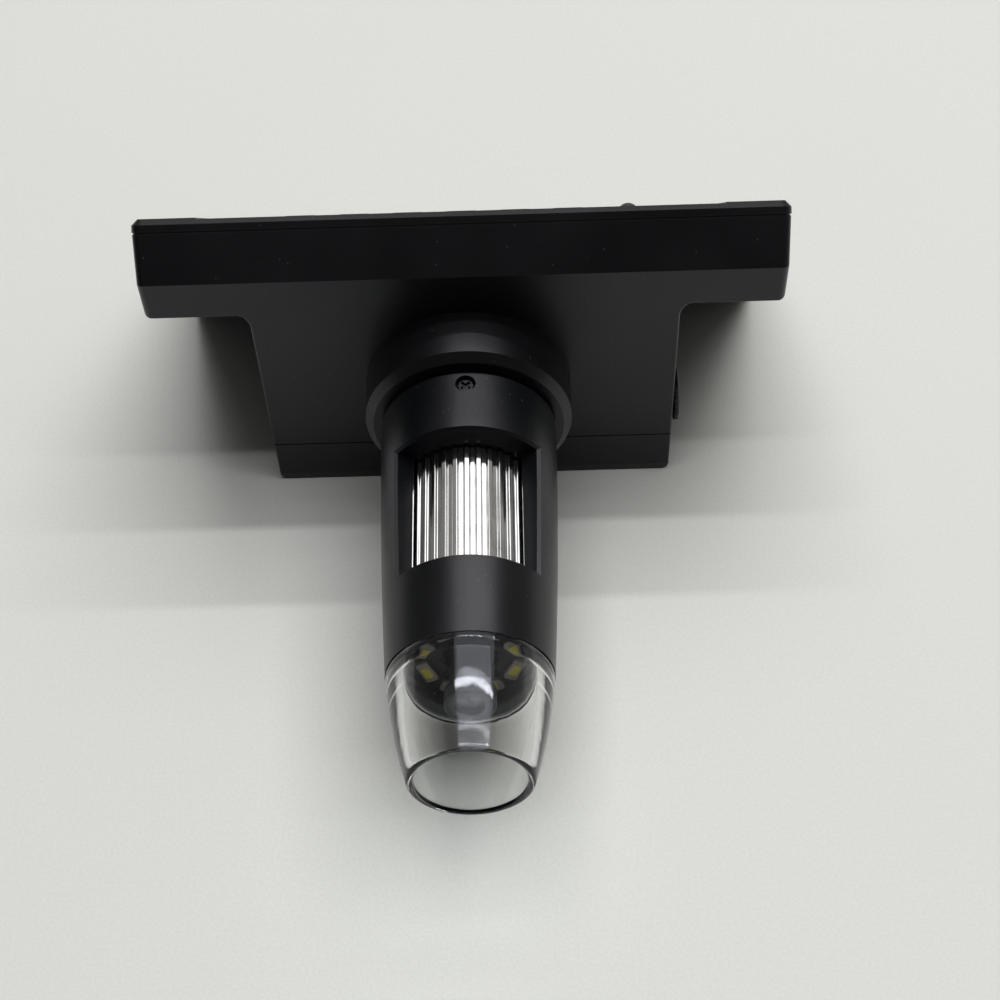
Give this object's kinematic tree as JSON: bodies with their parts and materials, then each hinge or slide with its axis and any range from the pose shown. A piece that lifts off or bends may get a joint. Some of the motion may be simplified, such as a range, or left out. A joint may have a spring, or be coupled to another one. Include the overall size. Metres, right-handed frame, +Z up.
{
  "type": "lcd digital microscope",
  "caption": "Handheld digital microscope head: a tilted display slab on a wedge leg, with a tapered barrel, a focus wheel in a finger window and a clear LED-lit nose.",
  "frame": {"origin": "middle of the flat rear end of the leg, the face that the unit stands on", "axes": "+Z up from the rest face; -Y along the barrel towards the clear nose; +X across the display"},
  "size_m": [0.1272, 0.1569, 0.0698],
  "materials": {
    "casing": "satin, fine moulded texture",
    "bezel": "satin",
    "window": "gloss, smoked",
    "lcd": "gloss",
    "key": "satin",
    "dial": "satin",
    "inner": "matte",
    "wheel": "polished, bright plated",
    "clear": "polished clear acrylic",
    "lens": "polished",
    "led": "satin phosphor",
    "led_board": "satin solder mask",
    "board": "satin solder mask",
    "chip": "matte",
    "sensor": "gloss",
    "connector": "satin",
    "steel": "satin",
    "black_screw": "satin black oxide",
    "battery": "satin foil",
    "ribbon": "satin",
    "lead": "satin"
  },
  "bodies": {
    "head": {"rear_shell": "casing", "rear_end_cap": "casing", "front_bezel": "bezel", "mount_collar": "casing", "barrel_shell": "casing", "display_window": "window", "lcd_panel": "lcd", "lcd_tray": "steel", "lcd_ribbon": "ribbon", "key_switches": "chip", "key_board": "board", "key_board_screws": "steel", "main_board": "board", "board_chips": "chip", "board_connectors": "connector", "board_screws": "steel", "usb_port": "steel", "card_socket": "steel", "battery_cell": "battery", "battery_leads": "lead", "dial_potentiometer": "chip", "case_screws": "black_screw", "end_cap_screws": "black_screw", "collar_screws": "steel", "barrel_screw": "black_screw", "guide_sleeve": "inner", "wheel_retainer": "inner", "sensor_board": "board", "image_sensor": "sensor", "sensor_ribbon": "ribbon", "led_board": "led_board", "leds": "led", "led_leads": "lead", "clear_nose_cap": "clear"},
    "wheel": {"focus_wheel": "wheel"},
    "carrier": {"lens_carrier": "inner", "drive_pin": "steel", "front_lens": "lens", "rear_lens": "lens", "lens_ring": "inner"},
    "dial": {"brightness_dial": "dial"},
    "menu_key": {"key_menu": "key"},
    "back_key": {"key_back": "key"},
    "down_key": {"key_down": "key"},
    "up_key": {"key_up": "key"},
    "select_key": {"key_select": "key"},
    "record_key": {"key_record": "key"},
    "power_key": {"key_power": "key"}
  },
  "joints": [
    {"name": "focus_turn", "type": "hinge", "parent": "head", "child": "wheel", "pos_m": [0, -0.06562, 0.031], "axis": [0, -1, 0], "range_deg": [-150, 150]},
    {"name": "lens_slide", "type": "slide", "parent": "head", "child": "carrier", "axis": [0, -1, 0], "range_m": [-0.0041, 0.0041]},
    {"name": "dial_turn", "type": "hinge", "parent": "head", "child": "dial", "pos_m": [0.0427, -0.01787, 0.0165], "axis": [1, 0, 0], "range_deg": [-135, 135]},
    {"name": "key_menu_press", "type": "slide", "parent": "head", "child": "menu_key", "axis": [0, -0.7254, -0.6884], "range_m": [0, 0.0003], "stiffness_N_per_m": 500, "springref_m": -0.0003},
    {"name": "key_back_press", "type": "slide", "parent": "head", "child": "back_key", "axis": [0, -0.7254, -0.6884], "range_m": [0, 0.0003], "stiffness_N_per_m": 500, "springref_m": -0.0003},
    {"name": "key_down_press", "type": "slide", "parent": "head", "child": "down_key", "axis": [0, -0.7254, -0.6884], "range_m": [0, 0.0003], "stiffness_N_per_m": 500, "springref_m": -0.0003},
    {"name": "key_up_press", "type": "slide", "parent": "head", "child": "up_key", "axis": [0, -0.7254, -0.6884], "range_m": [0, 0.0003], "stiffness_N_per_m": 500, "springref_m": -0.0003},
    {"name": "key_select_press", "type": "slide", "parent": "head", "child": "select_key", "axis": [0, -0.7254, -0.6884], "range_m": [0, 0.0003], "stiffness_N_per_m": 500, "springref_m": -0.0003},
    {"name": "key_record_press", "type": "slide", "parent": "head", "child": "record_key", "axis": [0, -0.7254, -0.6884], "range_m": [0, 0.0003], "stiffness_N_per_m": 500, "springref_m": -0.0003},
    {"name": "key_power_press", "type": "slide", "parent": "head", "child": "power_key", "axis": [0, -0.7254, -0.6884], "range_m": [0, 0.0003], "stiffness_N_per_m": 500, "springref_m": -0.0003}
  ],
  "couplings": [
    {"joint": "lens_slide", "follows": "focus_turn", "m_per_rad": -0.0015279}
  ]
}
